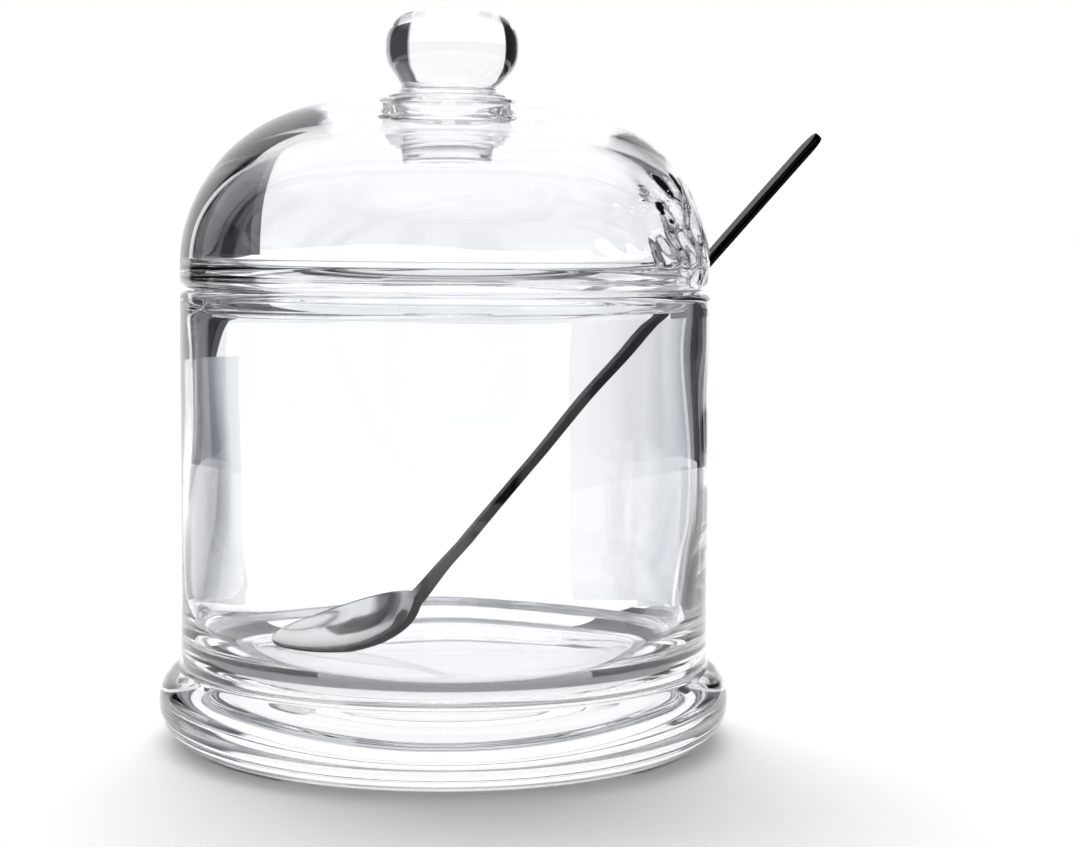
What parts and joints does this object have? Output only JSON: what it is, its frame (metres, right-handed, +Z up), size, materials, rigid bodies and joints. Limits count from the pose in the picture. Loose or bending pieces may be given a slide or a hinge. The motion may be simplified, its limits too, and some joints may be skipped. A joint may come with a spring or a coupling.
{
  "type": "sugar bowl",
  "caption": "Clear glass sugar bowl on a rounded foot, with a domed lift-off lid, ball knob and a steel spoon resting through a notch in the lid.",
  "frame": {"origin": "on the bowl's axis, in the plane its foot stands on", "axes": "+Z up along the bowl's axis, +X through the spoon notch along the spoon handle's plan direction, +Y completing the right-handed frame"},
  "size_m": [0.1071, 0.092, 0.1169],
  "materials": {
    "clear_glass": "polished",
    "stainless_steel": "polished"
  },
  "bodies": {
    "bowl": {"bowl": "clear_glass"},
    "lid": {"lid_dome": "clear_glass", "lid_knob": "clear_glass"},
    "spoon": {"spoon": "stainless_steel"}
  },
  "joints": [
    {"name": "lid_lift", "type": "slide", "parent": "bowl", "child": "lid", "axis": [0, 0, 1], "range_m": [0, 0.08]},
    {"name": "spoon_slide", "type": "slide", "parent": "bowl", "child": "spoon", "axis": [0.6508, 0, 0.7593], "range_m": [0, 0.055]}
  ]
}
